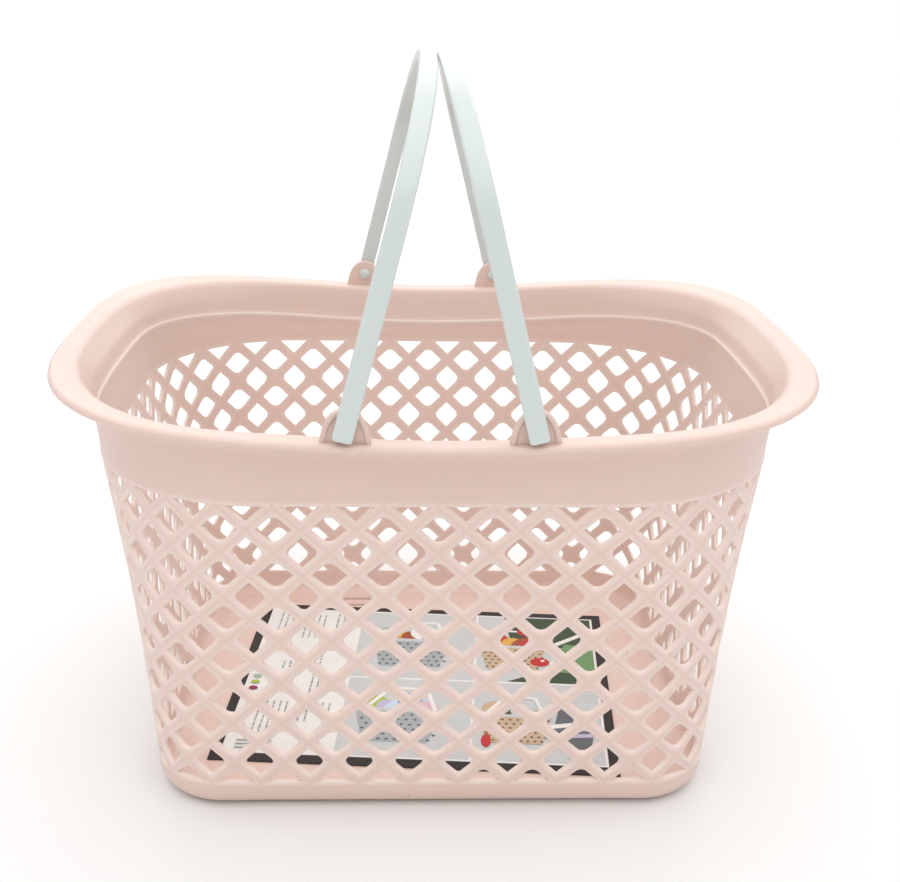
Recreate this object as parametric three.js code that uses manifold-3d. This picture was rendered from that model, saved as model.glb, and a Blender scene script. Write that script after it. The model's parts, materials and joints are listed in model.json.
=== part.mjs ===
// Hand basket: a tapered moulded tub with a lattice wall, a saddle-shaped rim with four ears,
// two bail handles that swing on pegs through the ears, and a printed card lying on the floor.
// Millimetres, +Z up, +X towards the right-hand end, the front long side faces -Y.
// The origin is the middle of the flat underside.

import * as THREE from 'three';
import { mergeVertices } from 'three/addons/utils/BufferGeometryUtils.js';
import Module from 'manifold-3d';

// ---- driving dimensions ----

const columnCount = 42;        // holes in one row, all the way round
const columnSpacing = 25;      // along the long walls
const quarter = columnCount / 4;
const halfRows = 13;           // rows of holes are half a pitch apart
const wallThickness = 2.4;
const gap = 0.3;               // between neighbouring solids

// plan outlines of the middle of the wall: half sizes, semi-axes of the corner curve, its power
const latticeBottom = { z: 17, halfX: 143, halfY: 121, cornerX: 37, cornerY: 37, power: 2 };
const latticeTop = { z: 174.5, halfX: 166.5, halfY: 138.5, cornerX: 85, cornerY: 85, power: 2 };
const rimInner = { halfX: 180, halfY: 142, cornerX: 106, cornerY: 142, power: 2.6 };
const rimOuter = { halfX: 191.5, halfY: 156, cornerX: 137, cornerY: 156, power: 3.2 };

const rimHeight = 208.4;       // top of the lip at the middle of the long sides
const rimRise = 13;            // how much higher the two ends are
const risePower = 1.6;
const lipThickness = 3.2;

const pointed = 0.33;          // half size of a hole towards its pointed ends, in pitches
const blunt = 0.29;            // and towards its rounded ends

const floorThickness = 2.6;
const baseStations = 60;       // cross-sections round the base, shared by its two solids
const floorInset = 9;          // from the wall's middle to the edge of the flat floor
const slot = { count: 3, width: 3.4, length: 26, pitch: 9, centreX: -46.5, centreY: 97.8 };

const pivotX = 41.5;
const pivotZ = 216.8;
const earThickness = 4;
const earOuterY = 151.5;
const earHalfWidth = 10.8;     // the ear is half an ellipse standing on the lip
const earTop = 225;
const earHoleRadius = 2.9;

const barWidth = 9;
const barThickness = 5.5;
const armGap = 0.4;            // between an arm and its ear
const armEnd = 5.2;            // the arm reaches this far below the pivot
const archHeight = 148.6;      // from the pivot to the middle of the grip
const armStraight = 0.6;       // the straight part of that height
const archPower = 2.3;
const gripGap = 0.4;           // between the two grips where they lean together
const pegRadius = 2.6;
const knobRadius = 3.4;
const knobLength = 2.4;

const card = { length: 221, depth: 180, thickness: 0.6, x: -3.2, y: -0.6, turn: -4.5 };

// ---- outlines in plan ----

// the first quarter of an outline, from the middle of the front wall to the middle of the right end
function quarterPath(outline) {
  const path = [new THREE.Vector2(0, -outline.halfY)];
  const steps = 48;
  for (let i = 0; i <= steps; i++) {
    const angle = (i / steps) * Math.PI / 2;
    const x = outline.halfX - outline.cornerX * (1 - Math.sin(angle) ** (2 / outline.power));
    const y = outline.halfY - outline.cornerY * (1 - Math.cos(angle) ** (2 / outline.power));
    path.push(new THREE.Vector2(x, -y));
  }
  if (outline.cornerY < outline.halfY) path.push(new THREE.Vector2(outline.halfX, 0));
  const lengths = [0];
  for (let i = 1; i < path.length; i++) {
    lengths.push(lengths[i - 1] + path[i].distanceTo(path[i - 1]));
  }
  return { path, lengths, total: lengths.at(-1) };
}

const pathCache = new Map();

function cachedPath(outline) {
  const key = Object.values(outline).join();
  if (!pathCache.has(key)) pathCache.set(key, quarterPath(outline));
  return pathCache.get(key);
}

// a point of the first quarter, column 0 to quarter. The long wall keeps its column spacing,
// and what is left over is shared out towards the end wall.
function quarterPoint(outline, column) {
  const { path, lengths, total } = cachedPath(outline);
  const share = column / quarter;
  const along = columnSpacing * column + (total - columnSpacing * quarter) * share ** 3;
  let i = 1;
  while (i < lengths.length - 1 && lengths[i] < along) i++;
  const part = (along - lengths[i - 1]) / (lengths[i] - lengths[i - 1]);
  return path[i - 1].clone().lerp(path[i], THREE.MathUtils.clamp(part, 0, 1));
}

// a point at any column: 0 is the middle of the front, counted anticlockwise from above
function onOutline(outline, column) {
  const turn = THREE.MathUtils.euclideanModulo(column, columnCount);
  const fromFront = Math.min(turn, columnCount - turn);
  const folded = Math.min(fromFront, columnCount / 2 - fromFront);
  const point = quarterPoint(outline, folded);
  if (turn > columnCount / 2) point.x = -point.x;
  if (fromFront > quarter) point.y = -point.y;
  return point;
}

// the same, moved outwards square to the outline
function planPoint(outline, column, outwards) {
  const reach = 0.05;
  const along = onOutline(outline, column + reach).sub(onOutline(outline, column - reach)).normalize();
  return onOutline(outline, column).add(new THREE.Vector2(along.y, -along.x).multiplyScalar(outwards));
}

function mixOutlines(a, b, share) {
  const mixed = {};
  for (const key of ['halfX', 'halfY', 'cornerX', 'cornerY', 'power']) {
    mixed[key] = THREE.MathUtils.lerp(a[key], b[key], share);
  }
  return mixed;
}

function wallOutline(z) {
  return mixOutlines(latticeBottom, latticeTop, (z - latticeBottom.z) / (latticeTop.z - latticeBottom.z));
}

function rimTop(x) {
  return rimHeight + rimRise * (Math.abs(x) / rimOuter.halfX) ** risePower;
}

// ---- solids from points and triangles ----

function signedVolume(points, triangles) {
  return triangles.reduce((sum, [a, b, c]) => {
    return sum + points[a].dot(points[b].clone().cross(points[c])) / 6;
  }, 0);
}

function solid(points, triangles) {
  const insideOut = signedVolume(points, triangles) < 0;
  const index = triangles.flatMap(([a, b, c]) => (insideOut ? [a, c, b] : [a, b, c]));
  const geometry = new THREE.BufferGeometry().setFromPoints(points);
  geometry.setIndex(index);
  geometry.computeVertexNormals();
  return geometry;
}

// joins cross-sections with the same number of points, either into a ring or with two end caps
function loft(sections, ring) {
  const size = sections[0].length;
  const triangles = [];
  const last = ring ? sections.length : sections.length - 1;
  for (let s = 0; s < last; s++) {
    const here = s * size;
    const next = ((s + 1) % sections.length) * size;
    for (let i = 0; i < size; i++) {
      const j = (i + 1) % size;
      triangles.push([here + i, next + i, next + j], [here + i, next + j, here + j]);
    }
  }
  if (!ring) {
    const end = (sections.length - 1) * size;
    for (let i = 1; i < size - 1; i++) {
      triangles.push([0, i, i + 1], [end, end + i + 1, end + i]);
    }
  }
  return solid(sections.flat(), triangles);
}

// a ring right round the basket, from a function that gives the section at one column
function ringRound(stations, sectionAt) {
  const sections = [];
  for (let i = 0; i < stations; i++) sections.push(sectionAt((i / stations) * columnCount));
  return loft(sections, true);
}

function sectionPoint(outline, column, outwards, z) {
  const plan = planPoint(outline, column, outwards);
  return new THREE.Vector3(plan.x, plan.y, z);
}

// ---- lattice wall ----

// a wide hole is pointed left and right, a tall hole is pointed up and down
function wideHole(column, row) {
  return {
    left: [column - pointed, row], right: [column + pointed, row],
    top: [column, row - 2 * blunt], bottom: [column, row + 2 * blunt],
  };
}

function tallHole(column, row) {
  return {
    left: [column - blunt, row], right: [column + blunt, row],
    top: [column, row - 2 * pointed], bottom: [column, row + 2 * pointed],
  };
}

// flat pattern of one panel between two half columns, as polygons in (column, half row)
function latticePattern(from, to) {
  const polygons = [];
  for (let column = from + 0.5; column < to; column++) {
    for (let row = 1; row <= halfRows; row += 2) {
      const hole = wideHole(column, row);
      const aboveRight = tallHole(column + 0.5, row - 1);
      const aboveLeft = tallHole(column - 0.5, row - 1);
      polygons.push([hole.top, hole.right, aboveRight.bottom, aboveRight.left]);
      polygons.push([hole.left, hole.top, aboveLeft.right, aboveLeft.bottom]);
      if (row < halfRows) {
        const belowRight = tallHole(column + 0.5, row + 1);
        const belowLeft = tallHole(column - 0.5, row + 1);
        polygons.push([hole.right, hole.bottom, belowRight.left, belowRight.top]);
        polygons.push([hole.bottom, hole.left, belowLeft.top, belowLeft.right]);
      }
    }
    for (let row = 0; row < halfRows; row += 2) {
      const corners = [tallHole(column - 0.5, row).right, wideHole(column, row + 1).top,
        tallHole(column + 0.5, row).left];
      if (row > 0) corners.push(wideHole(column, row - 1).bottom);
      polygons.push(corners);
    }
  }
  for (let column = from; column <= to; column++) {
    for (let row = 1; row <= halfRows; row += 2) {
      const above = tallHole(column, row - 1).bottom;
      const below = row < halfRows ? tallHole(column, row + 1).top : [column, row];
      const corners = [above];
      if (column > from) corners.push(wideHole(column - 0.5, row).right);
      if (row < halfRows || column === from || column === to) corners.push(below);
      if (column < to) corners.push(wideHole(column + 0.5, row).left);
      polygons.push(corners);
    }
  }
  return polygons;
}

// a point of the lattice wall, kept half a gap away from the panel's edges
function latticePoint(column, row, from, to, outwards) {
  const rowHeight = (latticeTop.z - latticeBottom.z) / halfRows;
  const z = latticeTop.z - row * rowHeight;
  const insetZ = row === 0 ? -gap / 2 : row === halfRows ? gap / 2 : 0;
  const insetColumn = column === from ? gap / 2 : column === to ? -gap / 2 : 0;
  return sectionPoint(wallOutline(z), column + insetColumn / columnSpacing, outwards, z + insetZ);
}

function latticePanel(from, to) {
  const corners = new Map();
  const outer = [];
  for (const polygon of latticePattern(from, to)) {
    const ids = polygon.map(([column, row]) => {
      const key = `${column.toFixed(4)} ${row.toFixed(4)}`;
      if (!corners.has(key)) corners.set(key, { id: corners.size, column, row });
      return corners.get(key).id;
    });
    for (let i = 1; i < ids.length - 1; i++) outer.push([ids[0], ids[i], ids[i + 1]]);
  }
  const count = corners.size;
  const points = [];
  for (const side of [wallThickness / 2, -wallThickness / 2]) {
    for (const { column, row } of corners.values()) {
      points.push(latticePoint(column, row, from, to, side));
    }
  }
  const inner = outer.map(([a, b, c]) => [a + count, c + count, b + count]);
  const used = new Set(outer.flatMap(([a, b, c]) => [`${a} ${b}`, `${b} ${c}`, `${c} ${a}`]));
  const sides = [];
  for (const edge of used) {
    const [a, b] = edge.split(' ').map(Number);
    if (!used.has(`${b} ${a}`)) sides.push([b, a, a + count], [b, a + count, b + count]);
  }
  return solid(points, [...outer, ...inner, ...sides]);
}

// ---- plain zones of the tub ----

function floorPlate() {
  const shape = new THREE.Shape();
  for (let i = 0; i < baseStations; i++) {
    const edge = planPoint(wallOutline(0), (i / baseStations) * columnCount, -floorInset - gap);
    if (i === 0) shape.moveTo(edge.x, edge.y);
    else shape.lineTo(edge.x, edge.y);
  }
  for (let i = 0; i < slot.count; i++) {
    const y = slot.centreY + (i - (slot.count - 1) / 2) * slot.pitch;
    const half = slot.length / 2 - slot.width / 2;
    const hole = new THREE.Path();
    hole.absarc(slot.centreX + half, y, slot.width / 2, -Math.PI / 2, Math.PI / 2, false);
    hole.absarc(slot.centreX - half, y, slot.width / 2, Math.PI / 2, 1.5 * Math.PI, false);
    shape.holes.push(hole);
  }
  return new THREE.ExtrudeGeometry(shape, { depth: floorThickness, bevelEnabled: false, curveSegments: 5 });
}

// the rounded edge between the floor and the wall, as [height, distance out from the wall's middle]
function baseBand() {
  const top = latticeBottom.z - gap / 2;
  const half = wallThickness / 2;
  const section = [
    [0, -floorInset], [0, -8.5], [0.8, -4.8], [3.2, -1.7], [6.8, 0.4], [11, 1.1], [top, half],
    [top, -half], [8, -1.5], [4.4, -3], [2.7, -6.5], [floorThickness, -floorInset],
  ];
  return ringRound(baseStations, (column) => section.map(([z, outwards]) => {
    return sectionPoint(wallOutline(z), column, outwards, z);
  }));
}

// the smooth wall above the lattice, flaring out to meet the lip
function upperBand() {
  const levels = [0, 0.45, 0.8, 1];
  return ringRound(72, (column) => {
    const start = latticeTop.z + gap / 2;
    const end = rimTop(onOutline(rimInner, column).x) - lipThickness - gap;
    const side = (share, outwards) => {
      const flare = 0.35 * share + 0.65 * share ** 3;
      const outline = mixOutlines(latticeTop, rimInner, flare);
      return sectionPoint(outline, column, outwards, THREE.MathUtils.lerp(start, end, share));
    };
    const outside = levels.map((share) => side(share, wallThickness / 2));
    const inside = levels.map((share) => side(share, -wallThickness / 2));
    return [...outside, ...inside.reverse()];
  });
}

function rimLip() {
  return ringRound(84, (column) => {
    const top = rimTop(onOutline(rimOuter, column).x);
    return [
      sectionPoint(rimInner, column, -1.2, top - lipThickness),
      sectionPoint(rimInner, column, -1.2, top - 1.6),
      sectionPoint(rimInner, column, 1, top - 0.2),
      sectionPoint(rimOuter, column, -1.4, top),
      sectionPoint(rimOuter, column, 0, top - 1.4),
      sectionPoint(rimOuter, column, -0.6, top - 4.4),
      sectionPoint(rimOuter, column, -3, top - lipThickness),
    ];
  });
}

// ---- ears and handles ----

function ear() {
  const base = rimTop(pivotX + earHalfWidth) + gap;
  const shape = new THREE.Shape();
  shape.moveTo(-earHalfWidth, 0);
  shape.lineTo(earHalfWidth, 0);
  shape.absellipse(0, 0, earHalfWidth, earTop - base, 0, Math.PI, false, 0);
  const hole = new THREE.Path();
  hole.absarc(0, pivotZ - base, earHoleRadius, 0, 2 * Math.PI, true);
  shape.holes.push(hole);
  const settings = { depth: earThickness, bevelEnabled: false, curveSegments: 14 };
  const geometry = new THREE.ExtrudeGeometry(shape, settings);
  geometry.rotateX(Math.PI / 2);
  geometry.translate(0, earThickness / 2, base);
  return geometry;
}

const armY = earOuterY + armGap + barThickness / 2;

// half of the arch's centre line, from the end of an arm to the top, as [y, height, half width]
function archHalf() {
  const straight = archHeight * armStraight;
  const stations = [
    [armY, -armEnd, 3.1], [armY, -armEnd + 0.5, 3.9], [armY, -armEnd + 1.6, barWidth / 2],
    [armY, straight, barWidth / 2],
  ];
  const steps = 14;
  for (let i = 1; i <= steps; i++) {
    const angle = (i / steps) * Math.PI / 2;
    const y = armY * Math.cos(angle) ** (2 / archPower);
    const z = straight + (archHeight - straight) * Math.sin(angle) ** (2 / archPower);
    stations.push([i === steps ? 0 : y, z, barWidth / 2]);
  }
  return stations;
}

function bailBar() {
  const half = archHalf();
  const other = half.slice(0, -1).reverse().map(([y, z, width]) => [-y, z, width]);
  const stations = [...half, ...other];
  const chamfer = 1.2;
  const depth = barThickness / 2;
  const sections = stations.map(([y, z, width], i) => {
    const before = stations[Math.max(i - 1, 0)];
    const after = stations[Math.min(i + 1, stations.length - 1)];
    const along = new THREE.Vector2(after[0] - before[0], after[1] - before[1]).normalize();
    const corners = [
      [width, depth - chamfer], [width - chamfer, depth], [chamfer - width, depth], [-width, depth - chamfer],
      [-width, chamfer - depth], [chamfer - width, -depth], [width - chamfer, -depth], [width, chamfer - depth],
    ];
    return corners.map(([x, out]) => new THREE.Vector3(x, y + along.y * out, z - along.x * out));
  });
  return loft(sections, false);
}

// the peg moulded on the inner face of the front arm, with its knob on the inner side of the ear
function peg() {
  const root = armY;
  const knob = earOuterY - earThickness - gap;
  const profile = [
    [0, root], [pegRadius, root], [pegRadius, knob], [knobRadius, knob],
    [knobRadius, knob - 0.6 * knobLength], [0.6 * knobRadius, knob - knobLength], [0, knob - knobLength],
  ];
  return new THREE.LatheGeometry(profile.map(([radius, y]) => new THREE.Vector2(radius, -y)), 20);
}

const wasm = await Module();
wasm.setup();

function toManifold(geometry) {
  const bare = geometry.clone();
  bare.deleteAttribute('normal');
  bare.deleteAttribute('uv');
  const merged = mergeVertices(bare, 1e-3);
  return new wasm.Manifold(new wasm.Mesh({
    numProp: 3,
    vertProperties: new Float32Array(merged.attributes.position.array),
    triVerts: new Uint32Array(merged.index.array),
  }));
}

function fromManifold(manifold) {
  const mesh = manifold.getMesh();
  const geometry = new THREE.BufferGeometry();
  geometry.setAttribute('position', new THREE.BufferAttribute(mesh.vertProperties, 3));
  geometry.setIndex(new THREE.BufferAttribute(mesh.triVerts, 1));
  geometry.computeVertexNormals();
  return geometry;
}

function bailHandle() {
  const frontPeg = peg();
  const backPeg = peg().rotateZ(Math.PI);
  const joined = toManifold(bailBar()).add(toManifold(frontPeg)).add(toManifold(backPeg));
  return fromManifold(joined);
}

// ---- materials ----

const tubPlastic = { color: 0xe3c4b8, roughness: 0.42, metalness: 0 };
const handlePlastic = { color: 0xe4efea, roughness: 0.35, metalness: 0 };
const printedCard = { color: 0xc9cdcb, roughness: 0.55, metalness: 0 };

function addMesh(parent, name, geometry, finish) {
  const mesh = new THREE.Mesh(geometry, new THREE.MeshStandardMaterial(finish));
  mesh.name = name;
  parent.add(mesh);
  return mesh;
}

// ---- assembly ----

const basket = new THREE.Group();

addMesh(basket, 'floor_plate', floorPlate(), tubPlastic);
addMesh(basket, 'base_band', baseBand(), tubPlastic);

// panels between these columns, going round from the middle of the front wall
const panels = [
  ['lattice_front', -3.5, 3.5], ['lattice_front_right', 3.5, 8.5], ['lattice_right', 8.5, 12.5],
  ['lattice_back_right', 12.5, 17.5], ['lattice_back', 17.5, 24.5], ['lattice_back_left', 24.5, 29.5],
  ['lattice_left', 29.5, 33.5], ['lattice_front_left', 33.5, 38.5],
];
for (const [name, from, to] of panels) {
  addMesh(basket, name, latticePanel(from, to), tubPlastic);
}

addMesh(basket, 'upper_band', upperBand(), tubPlastic);
addMesh(basket, 'rim_lip', rimLip(), tubPlastic);

for (const [side, x] of [['left', -pivotX], ['right', pivotX]]) {
  for (const [end, sign] of [['front', -1], ['back', 1]]) {
    const lug = addMesh(basket, `ear_${end}_${side}`, ear(), tubPlastic);
    lug.position.set(x, sign * (earOuterY - earThickness / 2), 0);
  }
}

const insert = addMesh(basket, 'card_insert',
  new THREE.BoxGeometry(card.length, card.depth, card.thickness), printedCard);
insert.position.set(card.x, card.y, floorThickness + gap + card.thickness / 2);
insert.rotation.z = THREE.MathUtils.degToRad(card.turn);

// each handle leans in until the upper edge of its grip reaches the other one's
function leanAngle() {
  const reach = Math.hypot(archHeight + barThickness / 2, barWidth / 2);
  const corner = Math.atan2(barWidth / 2, archHeight + barThickness / 2);
  return Math.asin((pivotX - gripGap / 2) / reach) - corner;
}

for (const [name, side] of [['left_handle', -1], ['right_handle', 1]]) {
  const hinge = new THREE.Group();
  hinge.position.set(side * pivotX, 0, pivotZ);
  hinge.rotation.y = -side * leanAngle();
  addMesh(hinge, name, bailHandle(), handlePlastic);
  basket.add(hinge);
}

export default basket;
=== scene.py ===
# Shopping basket: a seamless lattice tub, four ears, two swinging bail handles and a printed card,
# placed from the boxes and hinges of the frame. Lengths are in metres, +Z is up, and the front
# long side faces -Y.

import json
import math

import bmesh
import bpy
import numpy as np
from mathutils import Matrix, Vector


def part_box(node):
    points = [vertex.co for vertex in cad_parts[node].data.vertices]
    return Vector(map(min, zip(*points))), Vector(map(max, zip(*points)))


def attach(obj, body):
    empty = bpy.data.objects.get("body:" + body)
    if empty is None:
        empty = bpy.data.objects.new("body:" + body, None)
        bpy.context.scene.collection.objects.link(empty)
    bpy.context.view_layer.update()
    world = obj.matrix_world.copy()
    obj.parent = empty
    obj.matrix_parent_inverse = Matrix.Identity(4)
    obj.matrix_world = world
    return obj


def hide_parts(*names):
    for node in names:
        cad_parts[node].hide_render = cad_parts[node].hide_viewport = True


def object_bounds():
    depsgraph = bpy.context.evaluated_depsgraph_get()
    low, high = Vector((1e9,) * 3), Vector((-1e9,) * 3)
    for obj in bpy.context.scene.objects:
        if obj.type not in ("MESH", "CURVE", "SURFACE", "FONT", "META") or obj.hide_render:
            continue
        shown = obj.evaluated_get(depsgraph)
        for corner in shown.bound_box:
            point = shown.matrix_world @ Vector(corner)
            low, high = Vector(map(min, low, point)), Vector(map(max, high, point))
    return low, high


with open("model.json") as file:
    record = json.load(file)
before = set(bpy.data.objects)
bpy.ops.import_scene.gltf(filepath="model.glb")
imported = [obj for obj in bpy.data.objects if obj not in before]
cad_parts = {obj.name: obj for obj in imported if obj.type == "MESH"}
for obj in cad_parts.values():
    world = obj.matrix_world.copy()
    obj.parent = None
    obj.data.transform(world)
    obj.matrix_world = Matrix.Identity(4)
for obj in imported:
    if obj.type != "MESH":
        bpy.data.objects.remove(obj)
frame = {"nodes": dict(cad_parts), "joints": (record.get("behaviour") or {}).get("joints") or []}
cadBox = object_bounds()
print("frame loaded:", len(frame["nodes"]), "nodes")

# camera and picture

view = dict(
    place=(-0.0170, -0.671, 0.4013),
    turn=2.3,          # degrees to the right of straight ahead
    down=20.1,         # degrees below level
    roll=1.1,
    lens=51.2,
    sensor=36.0,       # lens and sensor in millimetres
)


def makeCamera():
    # looks along (sin turn cos down, cos turn cos down, -sin down), then rolls about that line
    cameraData = bpy.data.cameras.new("camera")
    cameraData.lens = view["lens"]
    cameraData.sensor_width = view["sensor"]
    cameraData.clip_start = 0.02
    camera = bpy.data.objects.new("camera", cameraData)
    bpy.context.scene.collection.objects.link(camera)
    turn, down, roll = (math.radians(view[k]) for k in ("turn", "down", "roll"))
    ahead = Vector((math.sin(turn) * math.cos(down), math.cos(turn) * math.cos(down), -math.sin(down)))
    side = Vector((math.cos(turn), -math.sin(turn), 0.0))
    up = side.cross(ahead)
    rolledSide = side * math.cos(roll) + up * math.sin(roll)
    rolledUp = up * math.cos(roll) - side * math.sin(roll)
    basis = Matrix((rolledSide, rolledUp, -ahead)).transposed().to_4x4()
    camera.matrix_world = Matrix.Translation(view["place"]) @ basis
    bpy.context.scene.camera = camera


makeCamera()

# mesh helpers


def stackRings(rings, closed=False):
    # rings of equally many points become one grid: points, and quads between each ring and the next
    points = np.concatenate(rings)
    count, size = len(rings), len(rings[0])
    first = np.arange(count if closed else count - 1)[:, None]
    along = np.arange(size)[None, :]
    here, after = first * size, ((first + 1) % count) * size
    ahead = (along + 1) % size
    quads = np.stack([here + along, here + ahead, after + ahead, after + along], -1)
    return points, quads.reshape(-1, 4)


def joinParts(parts):
    # several (points, faces) pairs become one, with the faces renumbered
    faces, start = [], 0
    for partPoints, partFaces in parts:
        faces += [[int(corner) + start for corner in face] for face in partFaces]
        start += len(partPoints)
    return np.concatenate([part[0] for part in parts]), faces


softAngle = 55      # edges that turn by more than this, in degrees, stay sharp


def makePiece(name, points, faces, material, weld=1e-6, edge=None):
    # welds the parts and turns their faces outwards; edge goes from 0 on plain faces to 1 on softened
    # edges and the raised line, where a painted highlight lightens the plastic
    mesh = bpy.data.meshes.new(name)
    mesh.from_pydata(np.asarray(points).tolist(), [], [list(f) for f in faces])
    if edge is not None:
        mesh.attributes.new("edge", "FLOAT", "POINT").data.foreach_set("value", edge)
    shape = bmesh.new()
    shape.from_mesh(mesh)
    bmesh.ops.remove_doubles(shape, verts=shape.verts, dist=weld)
    bmesh.ops.recalc_face_normals(shape, faces=shape.faces)
    shape.to_mesh(mesh)
    shape.free()
    mesh.polygons.foreach_set("use_smooth", np.ones(len(mesh.polygons), bool))
    mesh.set_sharp_from_angle(angle=math.radians(softAngle))
    mesh.materials.append(material)
    piece = bpy.data.objects.new(name, mesh)
    bpy.context.scene.collection.objects.link(piece)
    return piece


# shader helpers


def addNode(tree, kind, **inputs):
    # a new node; each input is a socket to link or a plain value
    node = tree.nodes.new(kind)
    for key, value in inputs.items():
        fillSocket(tree, node.inputs[key.replace("_", " ")], value)
    return node


def fillSocket(tree, socket, value):
    if isinstance(value, bpy.types.NodeSocket):
        tree.links.new(value, socket)
    else:
        socket.default_value = value


def addMath(tree, operation, *values):
    node = tree.nodes.new("ShaderNodeMath")
    node.operation = operation
    for socket, value in zip(node.inputs, values):
        fillSocket(tree, socket, value)
    return node.outputs[0]


def addMix(tree, factor, under, over, blend="MIX"):
    # the over colour laid on the under colour by the factor
    node = tree.nodes.new("ShaderNodeMix")
    node.data_type = "RGBA"
    node.blend_type = blend
    for name, value in (("Factor", factor), ("A", under), ("B", over)):
        fillSocket(tree, node.inputs[name], value)
    return node.outputs["Result"]


def makeGroup(name, inputs, outputs):
    group = bpy.data.node_groups.new(name, "ShaderNodeTree")
    for label, kind, value in inputs:
        socket = group.interface.new_socket(label, in_out="INPUT", socket_type=kind)
        socket.default_value = value
    for label, kind in outputs:
        group.interface.new_socket(label, in_out="OUTPUT", socket_type=kind)
    return group, group.nodes.new("NodeGroupInput"), group.nodes.new("NodeGroupOutput")


def mouldedGroup():
    # color drifts over a hand's breadth, with fine specks, a few sparse marks and a satin grain
    group, source, sink = makeGroup(
        "mouldedFinish",
        [("Color", "NodeSocketColor", (1, 1, 1, 1)), ("Drift", "NodeSocketFloat", 0.1),
         ("Roughness", "NodeSocketFloat", 0.4), ("Grain", "NodeSocketFloat", 900.0),
         ("Marks", "NodeSocketFloat", 0.3)],
        [("Color", "NodeSocketColor"), ("Roughness", "NodeSocketFloat"), ("Height", "NodeSocketFloat")])
    place = group.nodes.new("ShaderNodeTexCoord").outputs["Object"]
    given = source.outputs
    broad = addNode(group, "ShaderNodeTexNoise", Vector=place, Scale=9.0, Detail=3.0, Roughness=0.55)
    fine = addNode(group, "ShaderNodeTexNoise", Vector=place, Scale=140.0, Detail=2.0, Roughness=0.6)
    speck = addNode(group, "ShaderNodeTexNoise", Vector=place, Scale=210.0, Detail=2.0, Roughness=0.7)
    grain = addNode(group, "ShaderNodeTexNoise", Vector=place, Scale=given["Grain"], Detail=1.0)
    clouds = addMath(group, "MULTIPLY_ADD", fine.outputs["Fac"], 0.35, broad.outputs["Fac"])
    spread = addNode(group, "ShaderNodeMapRange", Value=clouds, From_Min=0.4, From_Max=0.95)
    drift = addMath(group, "MULTIPLY", spread.outputs["Result"], given["Drift"])
    tinted = addMix(group, drift, given["Color"], (0.80, 0.74, 0.70, 1), "MULTIPLY")
    sparse = addNode(group, "ShaderNodeMapRange", Value=speck.outputs["Fac"], From_Min=0.735, From_Max=0.80)
    marks = addMath(group, "MULTIPLY", sparse.outputs["Result"], given["Marks"])
    marked = addMix(group, marks, tinted, (0.30, 0.22, 0.18, 1))
    rough = addMath(group, "MULTIPLY_ADD", broad.outputs["Fac"], 0.16, given["Roughness"])
    for name, value in (("Color", marked), ("Roughness", rough), ("Height", grain.outputs["Fac"])):
        fillSocket(group, sink.inputs[name], value)
    return group


moulded = mouldedGroup()


def mouldedPlastic(name, values):
    # the finish, with a painted highlight along softened edges, and a little light scattered under the
    # surface
    material = bpy.data.materials.new(name)
    material.use_nodes = True
    tree = material.node_tree
    shader = tree.nodes["Principled BSDF"]
    finish = tree.nodes.new("ShaderNodeGroup")
    finish.node_tree = moulded
    finish.inputs["Color"].default_value = (*values["color"], 1)
    for label in ("drift", "roughness", "grain", "marks"):
        finish.inputs[label.title()].default_value = values[label]
    bump = addNode(tree, "ShaderNodeBump", Strength=values["bump"], Distance=0.0002,
                   Height=finish.outputs["Height"])
    # the edge attribute carries a painted highlight: a lighter colour mixed in where rounded edges and the
    # raised line would catch the light
    edge = tree.nodes.new("ShaderNodeAttribute")
    edge.attribute_name = "edge"
    highlightAmount = addMath(tree, "MULTIPLY", edge.outputs["Fac"], values["paintedEdgeHighlight"])
    withPaintedHighlight = addMix(tree, highlightAmount, finish.outputs["Color"], (*values["edgeHighlightColor"], 1))
    sockets = {
        "Base Color": withPaintedHighlight, "Roughness": finish.outputs["Roughness"], "Normal": bump.outputs["Normal"],
        "Subsurface Weight": values["glow"], "Subsurface Radius": values["glowColor"],
        "Subsurface Scale": values["glowDepth"], "Specular IOR Level": values["specular"],
    }
    for label, value in sockets.items():
        fillSocket(tree, shader.inputs[label], value)
    return material


tubFinish = dict(
    color=(0.785, 0.605, 0.535), drift=0.16, roughness=0.34, grain=900.0, bump=0.12, marks=0.5,
    glow=0.10, glowColor=(1.0, 0.7, 0.6), glowDepth=0.003, specular=0.5,
    # painted highlight: how much the edge attribute lightens the colour, and the colour it lightens towards
    paintedEdgeHighlight=0.55, edgeHighlightColor=(0.94, 0.83, 0.77),
)
handleFinish = dict(
    color=(0.655, 0.715, 0.697), drift=0.06, roughness=0.3, grain=700.0, bump=0.08, marks=0.15,
    glow=0.15, glowColor=(0.8, 1.0, 0.9), glowDepth=0.003, specular=0.5,
    paintedEdgeHighlight=0.0, edgeHighlightColor=(0.9, 0.9, 0.9),
)
tubPlastic = mouldedPlastic("palePinkPlastic", tubFinish)
handlePlastic = mouldedPlastic("mintWhitePlastic", handleFinish)
print("plastics ready")

# outlines in plan

tub = dict(
    columns=42,            # holes in one row, all the way round
    halfRows=13,           # rows of holes are half a pitch apart
    spacing=0.025,         # between columns on the long walls
    wall=0.0024,
    solidGap=0.00015,      # half the clearance between neighbouring frame solids
    topCorner=0.085,
    bottomCorner=0.037,
    innerCorner=(0.106, 2.6),   # reach and power of the rim's inner corner curve
    outerCorner=(0.137, 3.2),
    risePower=1.6,
)

latticeLow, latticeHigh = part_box("lattice_front")
endLow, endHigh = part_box("lattice_right")
bandLow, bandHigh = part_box("upper_band")
lipLow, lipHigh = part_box("rim_lip")
baseLow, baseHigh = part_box("base_band")
floorLow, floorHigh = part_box("floor_plate")
half = tub["wall"] / 2
latticeTopZ = latticeHigh.z + tub["solidGap"]
latticeBottomZ = latticeLow.z - tub["solidGap"]


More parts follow.
